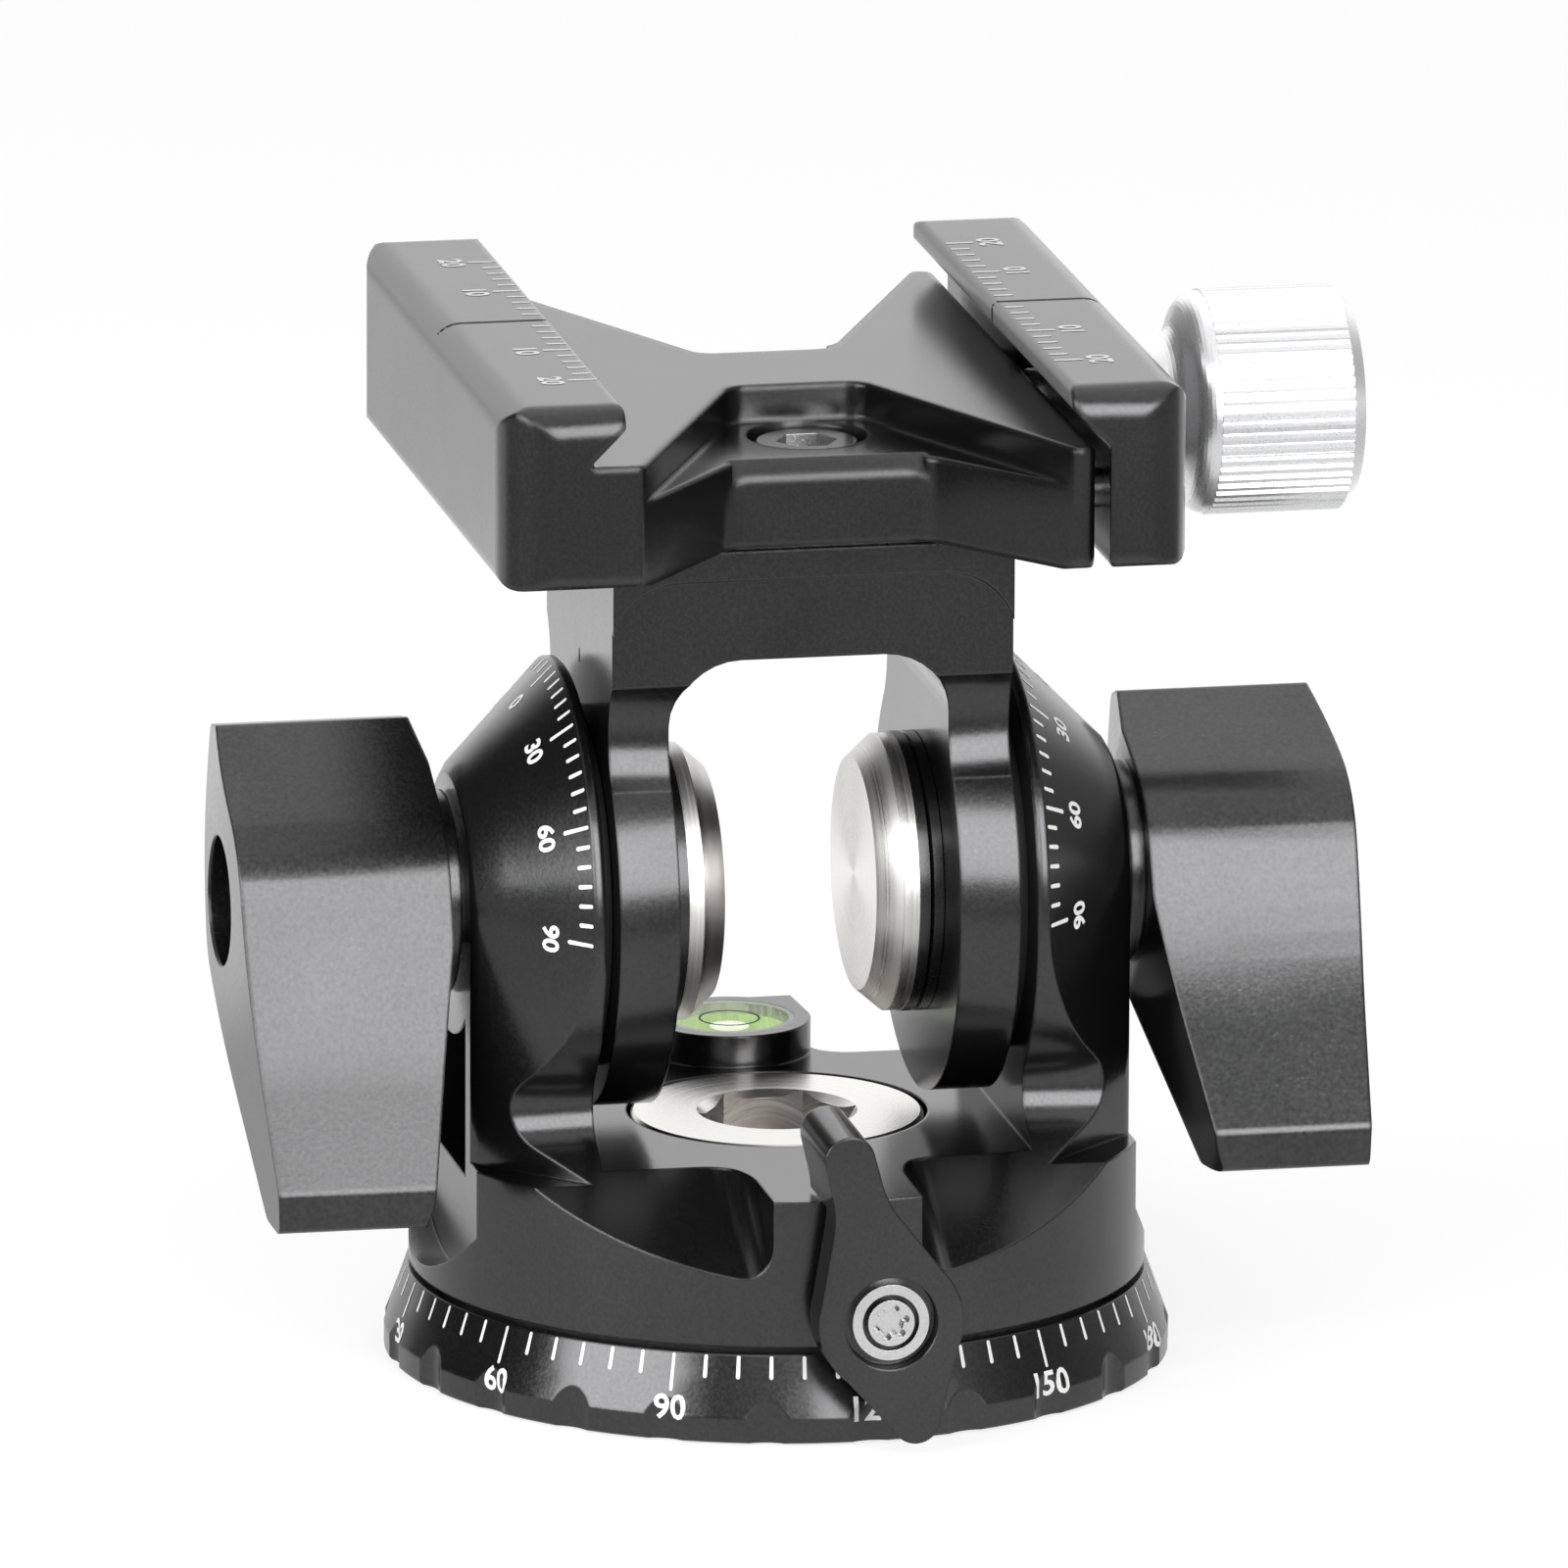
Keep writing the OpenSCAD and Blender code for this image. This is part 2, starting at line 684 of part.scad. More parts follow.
module tilt_knob_right() {
    translate([0, 0, tilt_z])
        rotate([knob_turn, 0, 0])
            translate([0, 0, -tilt_z]) side(1) tilt_knob();
}

// fork

module fork_side() {
    h = bridge_d / 2;
    dip_r = 6;
    dip_z = tilt_z + sqrt(pow(leg_r + dip_r, 2) - pow(h + 4.5, 2));
    difference() {
        union() {
            translate([0, tilt_z]) circle(r = leg_r);
            translate([-h, tilt_z]) square([2 * h, fork_top - tilt_z]);
        }
        for (s = [-1, 1]) translate([s * (h + 4.5), dip_z]) circle(r = dip_r);
    }
}
module fork_front() {
    low = tilt_z - leg_r - 1;
    polygon(rounded(
        [[-leg_out, low], [-leg_in, low], [-leg_in, window_top], [leg_in, window_top],
         [leg_in, low], [leg_out, low], [leg_out, fork_top], [-leg_out, fork_top]],
        [0, 0, window_r, window_r, 0, 0, 0.6, 0.6], 8));
}
module fork_band() {
    // the proud band above the outlined face, front and back
    difference() {
        translate([-leg_out, tilt_z + 18]) square([fork_w, fork_top - tilt_z - 18.3]);
        polygon(rounded(
            [[-leg_out - 0.3, tilt_z], [leg_out + 0.3, tilt_z],
             [leg_out + 0.3, bridge_line], [-leg_out - 0.3, bridge_line]],
            [0, 0, 5.5, 5.5], 8));
    }
}
module tilt_fork() {
    color([0.12, 0.12, 0.13])
    difference() {
        union() {
            intersection() {
                along_x(-leg_out, leg_out) fork_side();
                along_y(-30, 30) fork_front();
            }
            along_y(-bridge_d / 2 - bridge_step, bridge_d / 2 + bridge_step) fork_band();
            translate([-11.5, -10.5, fork_top - 1]) cube([23, 21, clamp_z0 - fork_top + 1]);
        }
        translate([0, 0, tilt_z]) x_cyl(sleeve_d / 2 + run, -leg_out - 1, leg_out + 1);
        for (s = [-1, 1])
            translate([0, s * screw_pitch / 2, window_top + 1.6]) cylinder(r = screw_d / 2, h = 20);
    }
}

// clamp

module end_profile() {
    h = clamp_l / 2;
    polygon(rounded(
        [[-h, clamp_z0], [h, clamp_z0], [h, clamp_z1], [-h, clamp_z1]],
        [1.1, 1.1, 2.3, 2.3]));
}
module base_front() {
    polygon(rounded(
        [[-fixed_out, clamp_z0], [base_end, clamp_z0], [base_end, floor_z], [-fixed_root, floor_z],
         [-fixed_lip, floor_z + dove_h], [-fixed_lip, clamp_z1], [-fixed_out, clamp_z1]],
        [0.95, 0.9, 0.7, 0.25, 0.5, 0.5, 2.2]));
}
module base_plan() {
    h = clamp_l / 2;
    polygon(rounded(
        [[-fixed_out, -h], [base_end, -h], [base_end, h], [-fixed_out, h]], [4, 1.4, 1.4, 4]));
}
module upper_notch() {
    h = clamp_l / 2;
    m = web_mid / 2;
    polygon(rounded(
        [[-notch_out, -h - 2], [notch_out, -h - 2], [notch_in, -m], [-notch_in, -m]], [0, 0, 2, 2]));
}
module lower_notch() {
    h = clamp_l / 2;
    polygon(rounded(
        [[-low_notch_out, -h - 2], [low_notch_out, -h - 2],
         [low_notch_in, -flange_y], [-low_notch_in, -flange_y]],
        [0, 0, 3, 3]));
}
module flange_slope() {
    // slanted front edge of the flange, seen along X
    polygon([[1 - flange_y, 0], [-flange_y - 2, -3.7], [-flange_y - 2, 1], [1 - flange_y, 1]]);
}
module clamp_base() {
    color([0.12, 0.12, 0.13])
    difference() {
        intersection() {
            along_y(-clamp_l, clamp_l) base_front();
            along_x(-fixed_out - 1, base_end + 1) end_profile();
            translate([0, 0, clamp_z0 - 1]) linear_extrude(height = 20) base_plan();
        }
        both_ends() {
            translate([0, 0, ledge_z]) linear_extrude(height = 20) upper_notch();
            translate([0, 0, clamp_z0 - 1]) linear_extrude(height = 20) lower_notch();
            translate([0, 0, ledge_z]) along_x(-low_notch_in, low_notch_in) flange_slope();
            translate([0, screw_pitch / 2, clamp_z0 + screw_seat])
                cylinder(r = screw_head_d / 2 + 0.2, h = 20);
            translate([0, screw_pitch / 2, clamp_z0 - 1]) cylinder(r = screw_d / 2 + 0.25, h = 20);
            translate([0, pin_pitch / 2, pin_z]) x_cyl(pin_d / 2 + run, pin_in - pin_room, base_end + 1);
        }
        translate([0, 0, clamp_axis_z]) x_cyl(clamp_thread_d / 2 + run, -4, base_end + 1);
    }
}
module clamp_mount_screws() {
    top = ledge_z - 0.35;
    color([0.35, 0.35, 0.35])
    both_ends()
    translate([0, screw_pitch / 2, 0])
    difference() {
        rotate_extrude() polygon([
            [0, window_top + 2], [screw_d / 2, window_top + 2], [screw_d / 2, clamp_z0 + screw_seat],
            [screw_head_d / 2, clamp_z0 + screw_seat], [screw_head_d / 2, top - 0.5],
            [screw_head_d / 2 - 0.6, top], [0, top]
        ]);
        translate([0, 0, top - 2.2]) cylinder(r = 2 / cos(30), h = 5, $fn = 6);
    }
}
module jaw_front() {
    polygon(rounded(
        [[jaw_in, clamp_z0], [jaw_out, clamp_z0], [jaw_out, clamp_z1], [jaw_lip, clamp_z1],
         [jaw_lip, floor_z + dove_h], [jaw_in, floor_z]],
        [0.6, 1.2, 2.2, 0.5, 0.5, 0.3]));
}
module jaw_plan() {
    h = clamp_l / 2;
    polygon(rounded([[jaw_lip, -h], [jaw_out, -h], [jaw_out, h], [jaw_lip, h]], [0.8, 4, 4, 0.8]));
}
module clamp_jaw() {
    color([0.12, 0.12, 0.13])
    difference() {
        intersection() {
            along_y(-clamp_l, clamp_l) jaw_front();
            along_x(jaw_lip - 2, jaw_out + 1) end_profile();
            translate([0, 0, clamp_z0 - 1]) linear_extrude(height = 20) jaw_plan();
        }
        translate([0, 0, clamp_axis_z]) x_cyl(clamp_thread_d / 2 + 0.2, jaw_in - 1, jaw_out + 1);
        translate([0, 0, clamp_axis_z]) x_cyl(clip_out_r + 0.4, jaw_in - 1, clip_x0 + clip_t + run);
        both_ends() translate([0, pin_pitch / 2, pin_z]) x_cyl(pin_d / 2, jaw_in - 1, jaw_out - 1.6);
    }
}
module jaw_guide_pins() {
    color([0.75, 0.75, 0.75])
    both_ends() translate([0, pin_pitch / 2, pin_z]) x_cyl(pin_d / 2, pin_in, jaw_out - 1.6);
}
module clamp_knob() {
    r = grip_d / 2;
    step = 360 / grip_count;
    x0 = jaw_out + run;
    land = r - 0.15;
    core = r - grip_depth - 0.1;
    end_t = 1;
    color([0.9, 0.9, 0.9])
    translate([0, 0, clamp_axis_z])
    difference() {
        union() {
            x_turn(rounded(
                [[0, x0], [grip_neck_d / 2, x0], [grip_neck_d / 2 + 0.35, grip_x0 - 2.5],
                 [land, grip_x0 - 1.25], [land, grip_x0], [core, grip_x0], [core, grip_x1 - end_t],
                 [land, grip_x1 - end_t], [land - end_t, grip_x1], [0, grip_x1]],
                [0, 0, 1.6, 1.6, 0, 0, 0, 0, 0, 0]));
            translate([grip_x0, 0, 0]) rotate([0, 90, 0])
                linear_extrude(height = grip_x1 - end_t - grip_x0)
                    polygon([for (i = [0:grip_count - 1]) each [
                        turn(i * step, r - grip_depth), turn((i + 0.3) * step, r),
                        turn((i + 0.7) * step, r)]]);
        }
        x_cyl(clamp_thread_d / 2, x0 - 1, grip_x0 + 6);
    }
}
module clamp_screw() {
    color([0.7, 0.7, 0.7])
    translate([0, 0, clamp_axis_z])
    difference() {
        x_cyl(clamp_thread_d / 2, -3, grip_x0 + 6);
        x_turn([[clip_in_r, clip_x0], [4, clip_x0], [4, clip_x0 + clip_t], [clip_in_r, clip_x0 + clip_t]]);
    }
}
module clamp_clip() {
    color([0.5, 0.5, 0.5])
    translate([0, 0, clamp_axis_z])
    x_turn([
        [clip_in_r, clip_x0], [clip_out_r, clip_x0],
        [clip_out_r, clip_x0 + clip_t], [clip_in_r, clip_x0 + clip_t]
    ]);
}

base_ring();
thread_insert();
pan_axle();
axle_washer();
pan_washer();
pan_body();
level_cup();
level_fluid();
level_lens();
pan_lock_shoe();
pivot_bolt_left();
pivot_bolt_right();
pressure_ring_left();
pressure_ring_right();
friction_washer_left();
friction_washer_right();
knob_screw_left();
knob_screw_right();
pan_lever();
pan_lock_stud();
pan_lever_washer();
pan_lever_screw();
tilt_knob_left();
tilt_knob_right();
tilt_fork();
clamp_base();
clamp_mount_screws();
clamp_jaw();
jaw_guide_pins();
clamp_knob();
clamp_screw();
clamp_clip();
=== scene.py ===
import json
from math import cos, pi, radians, sin, sqrt

import bmesh
import bpy
from mathutils import Matrix, Vector
from mathutils.bvhtree import BVHTree


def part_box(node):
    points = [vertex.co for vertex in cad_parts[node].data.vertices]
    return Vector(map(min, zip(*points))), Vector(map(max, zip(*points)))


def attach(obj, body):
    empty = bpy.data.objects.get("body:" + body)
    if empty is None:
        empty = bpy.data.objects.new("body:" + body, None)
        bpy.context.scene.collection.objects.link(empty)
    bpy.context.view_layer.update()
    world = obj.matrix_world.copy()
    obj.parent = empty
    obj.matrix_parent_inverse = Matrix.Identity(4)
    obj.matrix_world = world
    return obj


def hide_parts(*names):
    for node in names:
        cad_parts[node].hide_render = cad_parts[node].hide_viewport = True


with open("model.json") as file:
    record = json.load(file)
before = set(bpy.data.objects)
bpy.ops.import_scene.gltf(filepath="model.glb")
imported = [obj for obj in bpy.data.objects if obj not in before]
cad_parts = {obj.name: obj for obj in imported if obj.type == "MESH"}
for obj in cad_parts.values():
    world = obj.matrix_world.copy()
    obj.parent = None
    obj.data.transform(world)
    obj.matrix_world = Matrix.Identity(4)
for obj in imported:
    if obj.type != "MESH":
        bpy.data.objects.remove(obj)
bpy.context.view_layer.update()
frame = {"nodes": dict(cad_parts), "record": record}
nodes = frame["nodes"]
bodyOf = {n: b for b, names in frame["record"]["behaviour"]["bodies"].items() for n in names}
scene = bpy.context.scene
scene.view_settings.view_transform = "Standard"
print("frame loaded:", len(nodes), "nodes")

# lengths in the dictionaries are in mm, apart from those of the studio
mm = 0.001
tiltAxis = Vector((0, 0, 36))  # the fork turns about X through this point


# shader helpers

def newGroup(name, inputs, outputs):
    group = bpy.data.node_groups.new(name, "ShaderNodeTree")
    for label, kind, value in inputs:
        socket = group.interface.new_socket(label, in_out="INPUT", socket_type=kind)
        if value is not None:
            socket.default_value = value
    for label, kind in outputs:
        group.interface.new_socket(label, in_out="OUTPUT", socket_type=kind)
    return group, group.nodes.new("NodeGroupInput"), group.nodes.new("NodeGroupOutput")


def addNode(tree, kind, **settings):
    node = tree.nodes.new(kind)
    for key, value in settings.items():
        setattr(node, key, value)
    return node


# a socket takes a link from another socket, or a plain value
def feed(tree, value, socket):
    if isinstance(value, bpy.types.NodeSocket):
        tree.links.new(value, socket)
    elif value is not None:
        socket.default_value = value


def mathNode(tree, operation, a, b=None):
    node = addNode(tree, "ShaderNodeMath", operation=operation)
    for socket, value in zip(node.inputs, (a, b)):
        feed(tree, value, socket)
    return node.outputs[0]


def mapRange(tree, value, low, high, outLow, outHigh, smooth=True):
    node = addNode(tree, "ShaderNodeMapRange")
    node.interpolation_type = "SMOOTHSTEP" if smooth else "LINEAR"
    labels = ("Value", "From Min", "From Max", "To Min", "To Max")
    for label, v in zip(labels, (value, low, high, outLow, outHigh)):
        feed(tree, v, node.inputs[label])
    return node.outputs["Result"]


def noiseNode(tree, vector, scale, detail, dimensions="3D"):
    node = addNode(tree, "ShaderNodeTexNoise", noise_dimensions=dimensions)
    feed(tree, detail, node.inputs["Detail"])
    feed(tree, scale, node.inputs["Scale"])
    feed(tree, vector, node.inputs["W" if dimensions == "1D" else "Vector"])
    return node.outputs["Fac"]


# where a mix node keeps its factor, its two values and its result, for each kind of value
mixSockets = {"RGBA": (0, 6, 7, 2), "FLOAT": (0, 2, 3, 0)}


def mixNode(tree, kind, factor, first, second):
    node = addNode(tree, "ShaderNodeMix", data_type=kind)
    *places, result = mixSockets[kind]
    for place, value in zip(places, (factor, first, second)):
        feed(tree, value, node.inputs[place])
    return node.outputs[result]


def mixShaders(tree, factor, first, second):
    node = tree.nodes.new("ShaderNodeMixShader")
    for socket, value in zip(node.inputs, (factor, first, second)):
        feed(tree, value, socket)
    return node.outputs[0]


def weigh(tree, first, second, share):
    return mathNode(tree, "ADD", mathNode(tree, "MULTIPLY", first, share),
                    mathNode(tree, "MULTIPLY", second, 1 - share))


def splitXyz(tree, vector):
    parts = addNode(tree, "ShaderNodeSeparateXYZ")
    feed(tree, vector, parts.inputs[0])
    return parts.outputs


def objectPlace(tree):
    return tree.nodes.new("ShaderNodeTexCoord").outputs["Object"]


# the rays that show in the picture, also those that go on through the lens of the level
def cameraRays(tree, rays):
    return mathNode(tree, "MAXIMUM", rays.outputs["Is Camera Ray"], rays.outputs["Is Transmission Ray"])


# bead blasted skin: fine pits, and a slow change of shade
blastSpec = {"grain": 7000.0, "cloud": 90.0, "detail": 2.0, "pitShare": 0.6}


def makeBlastGrain(spec):
    group, inside, outside = newGroup(
        "blastGrain",
        [("Vector", "NodeSocketVector", None), ("Grain", "NodeSocketFloat", spec["grain"]),
         ("Cloud", "NodeSocketFloat", spec["cloud"])],
        [("Shade", "NodeSocketFloat"), ("Height", "NodeSocketFloat")])
    pits = noiseNode(group, inside.outputs["Vector"], inside.outputs["Grain"], spec["detail"])
    cloud = noiseNode(group, inside.outputs["Vector"], inside.outputs["Cloud"], spec["detail"])
    feed(group, weigh(group, pits, cloud, spec["pitShare"]), outside.inputs["Shade"])
    feed(group, pits, outside.inputs["Height"])
    return group


# lathe marks: fine and broad rings about the local Z of the vector that comes in
ringSpec = {"pitch": 5200.0, "detail": 3.0, "broadPitch": 900.0, "broadDetail": 1.0, "slope": 0.7, "fineShare": 0.6}


def makeTurnedRings(spec):
    group, inside, outside = newGroup(
        "turnedRings",
        [("Vector", "NodeSocketVector", None), ("Pitch", "NodeSocketFloat", spec["pitch"])],
        [("Shade", "NodeSocketFloat"), ("Height", "NodeSocketFloat")])
    parts = splitXyz(group, inside.outputs["Vector"])
    squares = [mathNode(group, "MULTIPLY", parts[k], parts[k]) for k in "XY"]
    radius = mathNode(group, "SQRT", mathNode(group, "ADD", *squares))
    reach = mathNode(group, "ADD", radius, mathNode(group, "MULTIPLY", parts["Z"], spec["slope"]))

    def rings(pitch, detail):
        return noiseNode(group, mathNode(group, "MULTIPLY", reach, pitch), 1.0, detail, "1D")

    fine = rings(inside.outputs["Pitch"], spec["detail"])
    broad = rings(spec["broadPitch"], spec["broadDetail"])
    feed(group, weigh(group, fine, broad, spec["fineShare"]), outside.inputs["Shade"])
    feed(group, fine, outside.inputs["Height"])
    return group


# edges broken by a small radius, as a deburred and blasted part has them
edgeSpec = {"radius": 0.2, "samples": 6}


def makeBrokenEdge(spec):
    group, inside, outside = newGroup(
        "brokenEdge", [("Radius", "NodeSocketFloat", spec["radius"] * mm)], [("Normal", "NodeSocketVector")])
    rounded = addNode(group, "ShaderNodeBevel", samples=spec["samples"])
    feed(group, inside.outputs["Radius"], rounded.inputs["Radius"])
    feed(group, rounded.outputs["Normal"], outside.inputs["Normal"])
    return group


blastGrain = makeBlastGrain(blastSpec)
turnedRings = makeTurnedRings(ringSpec)
brokenEdge = makeBrokenEdge(edgeSpec)


# finishes

def startMaterial(name, **constants):
    material = bpy.data.materials.new(name)
    material.use_nodes = True
    skin = material.node_tree.nodes["Principled BSDF"]
    for label, value in constants.items():
        skin.inputs[label.replace("_", " ")].default_value = value
    return material, material.node_tree, skin


noiseBand = (0.3, 0.7)  # nearly all of a noise lies between these values


# shade and relief of a grain or of rings, on the skin of a material
def dressSkin(tree, skin, texture, dark, light, rough, depth, edge=0):
    mix = mapRange(tree, texture.outputs["Shade"], *noiseBand, 0, 1, False)
    feed(tree, mixNode(tree, "RGBA", mix, (*dark, 1), (*light, 1)), skin.inputs["Base Color"])
    feed(tree, mapRange(tree, texture.outputs["Shade"], *noiseBand, *rough, False), skin.inputs["Roughness"])
    bump = addNode(tree, "ShaderNodeBump")
    feed(tree, 1.0, bump.inputs["Strength"])
    feed(tree, depth * mm, bump.inputs["Distance"])
    feed(tree, texture.outputs["Height"], bump.inputs["Height"])
    feed(tree, bump.outputs["Normal"], skin.inputs["Normal"])
    if edge:
        rounded = addNode(tree, "ShaderNodeGroup", node_tree=brokenEdge)
        feed(tree, edge * mm, rounded.inputs["Radius"])
        feed(tree, rounded.outputs["Normal"], bump.inputs["Normal"])


def blasted(name, dark, light, rough, grain, depth, edge=0, **constants):
    material, tree, skin = startMaterial(name, **constants)
    texture = addNode(tree, "ShaderNodeGroup", node_tree=blastGrain)
    feed(tree, grain, texture.inputs["Grain"])
    feed(tree, objectPlace(tree), texture.inputs["Vector"])
    dressSkin(tree, skin, texture, dark, light, rough, depth, edge)
    return material


def turned(name, dark, light, rough, centre, axis, pitch, depth, **constants):
    material, tree, skin = startMaterial(name, **constants)
    lay = addNode(tree, "ShaderNodeMapping", vector_type="TEXTURE")
    lay.inputs["Location"].default_value = [c * mm for c in centre]
    lay.inputs["Rotation"].default_value = (0, radians(90), 0) if axis == "X" else (0, 0, 0)
    feed(tree, objectPlace(tree), lay.inputs["Vector"])
    texture = addNode(tree, "ShaderNodeGroup", node_tree=turnedRings)
    feed(tree, pitch, texture.inputs["Pitch"])
    feed(tree, lay.outputs["Vector"], texture.inputs["Vector"])
    dressSkin(tree, skin, texture, dark, light, rough, depth)
    if "Anisotropic" in constants:  # the cut runs round the axis, so the sheen fans out from the middle
        cut = addNode(tree, "ShaderNodeTangent", direction_type="RADIAL", axis=axis)
        feed(tree, cut.outputs["Tangent"], skin.inputs["Tangent"])
    return material


# clear to the light that falls through it, so that what is under it isn't in its shadow
def clearPlastic(name, **constants):
    material, tree, skin = startMaterial(name, **constants)
    rays = tree.nodes.new("ShaderNodeLightPath")
    clear = tree.nodes.new("ShaderNodeBsdfTransparent")
    surface = mixShaders(tree, rays.outputs["Is Shadow Ray"], skin.outputs[0], clear.outputs[0])
    feed(tree, surface, tree.nodes["Material Output"].inputs["Surface"])
    return material


blastedSpecs = {
    "blackAnodised": {"dark": (0.062, 0.062, 0.063), "light": (0.088, 0.088, 0.090), "rough": (0.17, 0.25),
                      "grain": 3600, "depth": 0.0036, "edge": 0.3, "Metallic": 0.96},
    "blackClamp": {"dark": (0.058, 0.058, 0.059), "light": (0.082, 0.082, 0.084), "rough": (0.17, 0.25),
                   "grain": 3600, "depth": 0.0036, "edge": 0.8, "Metallic": 0.96},
    "blackBlasted": {"dark": (0.056, 0.056, 0.057), "light": (0.092, 0.092, 0.094), "rough": (0.19, 0.28),
                     "grain": 3000, "depth": 0.0055, "edge": 0.4, "Metallic": 0.96},
    "silverAnodised": {"dark": (0.76, 0.76, 0.77), "light": (0.87, 0.87, 0.88), "rough": (0.24, 0.36),
                       "grain": 6000, "depth": 0.003, "Metallic": 0.85, "IOR": 1.6},
    # black oxide of the small steel parts, also laid as painted shade on the seat and flanks of the lever's washer
    # and screw
    "blackOxide": {"dark": (0.060, 0.060, 0.061), "light": (0.085, 0.085, 0.087), "rough": (0.2, 0.3),
                   "grain": 6000, "depth": 0.003, "Metallic": 0.94},
    "greySteel": {"dark": (0.36, 0.36, 0.36), "light": (0.46, 0.46, 0.46), "rough": (0.16, 0.26),
                  "grain": 5000, "depth": 0.002, "edge": 0.15, "Metallic": 1.0},
    "bearingBronze": {"dark": (0.50, 0.34, 0.16), "light": (0.66, 0.48, 0.25), "rough": (0.3, 0.42),
                      "grain": 5000, "depth": 0.003, "Metallic": 1.0},
    "slipPolymer": {"dark": (0.72, 0.72, 0.69), "light": (0.82, 0.82, 0.79), "rough": (0.45, 0.55),
                    "grain": 4000, "depth": 0.003, "IOR": 1.45},
    "frictionPolymer": {"dark": (0.018, 0.018, 0.018), "light": (0.035, 0.035, 0.035), "rough": (0.5, 0.65),
                        "grain": 3500, "depth": 0.005, "IOR": 1.5},
    # bright steel of the small screws and pins, also laid as a painted glint in the sockets of the mount screws
    "brightScrew": {"dark": (0.66, 0.66, 0.66), "light": (0.80, 0.80, 0.80), "rough": (0.16, 0.28),
                    "grain": 5000, "depth": 0.002, "edge": 0.04, "Metallic": 1.0},
    "scaleFill": {"dark": (0.70, 0.70, 0.69), "light": (0.82, 0.82, 0.81), "rough": (0.5, 0.65),
                  "grain": 6000, "depth": 0.004, "IOR": 1.45},
    # near-black marks: the printed target ring of the level and the index mark, and painted shade standing in for
    # the cut lines of the jaws
    "grooveFill": {"dark": (0.003, 0.003, 0.003), "light": (0.006, 0.006, 0.006), "rough": (0.6, 0.7),
                   "grain": 6000, "depth": 0.002, "IOR": 1.4},
    "levelCup": {"dark": (0.62, 0.63, 0.60), "light": (0.74, 0.75, 0.72), "rough": (0.35, 0.45),
                 "grain": 4000, "depth": 0.002, "IOR": 1.5},
    # painted glow: the liquid and the bubble of the level emit a faint light, though neither is a lamp
    "levelLiquid": {"dark": (0.66, 0.95, 0.22), "light": (0.76, 0.98, 0.32), "rough": (0.12, 0.2),
                    "grain": 300, "depth": 0.001, "IOR": 1.45,
                    "Emission_Color": (0.74, 0.95, 0.46, 1), "Emission_Strength": 0.5},
    "levelBubble": {"dark": (0.93, 0.98, 0.80), "light": (0.97, 1.0, 0.88), "rough": (0.1, 0.16),
                    "grain": 300, "depth": 0.001, "IOR": 1.3,
                    "Emission_Color": (0.93, 0.98, 0.80, 1), "Emission_Strength": 0.5},
}
turnedSpecs = {
    "turnedCap": {"dark": (0.60, 0.585, 0.565), "light": (0.74, 0.725, 0.70), "rough": (0.24, 0.34),
                  "centre": tiltAxis, "axis": "X", "pitch": 5200, "depth": 0.0006,
                  "Metallic": 1.0, "Anisotropic": 0.8},
    "turnedAxle": {"dark": (0.66, 0.64, 0.615), "light": (0.78, 0.76, 0.73), "rough": (0.22, 0.32),
                   "centre": (0, 0, 0), "axis": "Z", "pitch": 4200, "depth": 0.0008, "Metallic": 1.0},
}
clearSpecs = {
    "clearLens": {"Base_Color": (0.97, 1.0, 0.97, 1), "IOR": 1.49, "Roughness": 0.03, "Alpha": 0.16},
}
finishes = {}
for make, specs in ((blasted, blastedSpecs), (turned, turnedSpecs), (clearPlastic, clearSpecs)):
    for name, spec in specs.items():
        finishes[name] = make(name, **spec)
print("finishes made:", len(finishes))


# pieces

def addPiece(name, bm, finish, body, stands=(), smooth=30):
    mesh = bpy.data.meshes.new(name)
    bm.to_mesh(mesh)
    bm.free()
    for face in mesh.polygons:
        face.use_smooth = True
    if smooth:
        mesh.set_sharp_from_angle(angle=radians(smooth))
    mesh.materials.append(finishes[finish])
    piece = bpy.data.objects.new(name, mesh)
    scene.collection.objects.link(piece)
    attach(piece, body)
    if stands:
        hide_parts(*stands)
    return piece


# a node shaded smooth up to its creases, with flats that stay flat
def shadeNode(node, finish, crease):
    bm = bmesh.new()
    bm.from_mesh(nodes[node].data)
    bmesh.ops.remove_doubles(bm, verts=bm.verts, dist=1e-6)
    for e in bm.edges:
        e.smooth = e.calc_face_angle(0) < radians(crease)
    piece = addPiece(node + "_soft", bm, finish, bodyOf[node], [node], smooth=None)
    even = piece.modifiers.new("evenShade", "WEIGHTED_NORMAL")
    even.keep_sharp = True
    return piece


# finish, and the angle from which an edge is a crease
shadedNodes = {
    "base_ring": ("blackAnodised", 12), "pan_body": ("blackAnodised", 24), "tilt_fork": ("blackAnodised", 24),
    "clamp_base": ("blackClamp", 24), "clamp_jaw": ("blackClamp", 24), "pan_lever": ("blackAnodised", 24),
    "tilt_knob_left": ("blackBlasted", 24), "tilt_knob_right": ("blackBlasted", 24),
    "clamp_mount_screws": ("greySteel", 30), "pan_lever_washer": ("brightScrew", 30),
    "pan_lever_screw": ("brightScrew", 30),
}
shaded = {}
for node, (finish, crease) in shadedNodes.items():
    shaded[node] = shadeNode(node, finish, crease)
    print("shaded:", node, len(shaded[node].data.polygons), "faces")


# a second finish on the faces that a test picks
def secondFinish(piece, finish, test):
    piece.data.materials.append(finishes[finish])
    for face in piece.data.polygons:
        if test(face.center / mm, face.normal):
            face.material_index = 1


# painted shade: the seat of the lever's washer and every flank of its screw, the walls of its star and the side of
# its head, take a near-black finish where shade falls
leverPin = {"x": 2.0, "z": 10.1, "seat": 2.2, "flank": 0.6}


def inSeat(centre, normal):
    return (centre.x - leverPin["x"]) ** 2 + (centre.z - leverPin["z"]) ** 2 < leverPin["seat"] ** 2


def onFlank(centre, normal):
    return abs(normal.y) < leverPin["flank"]
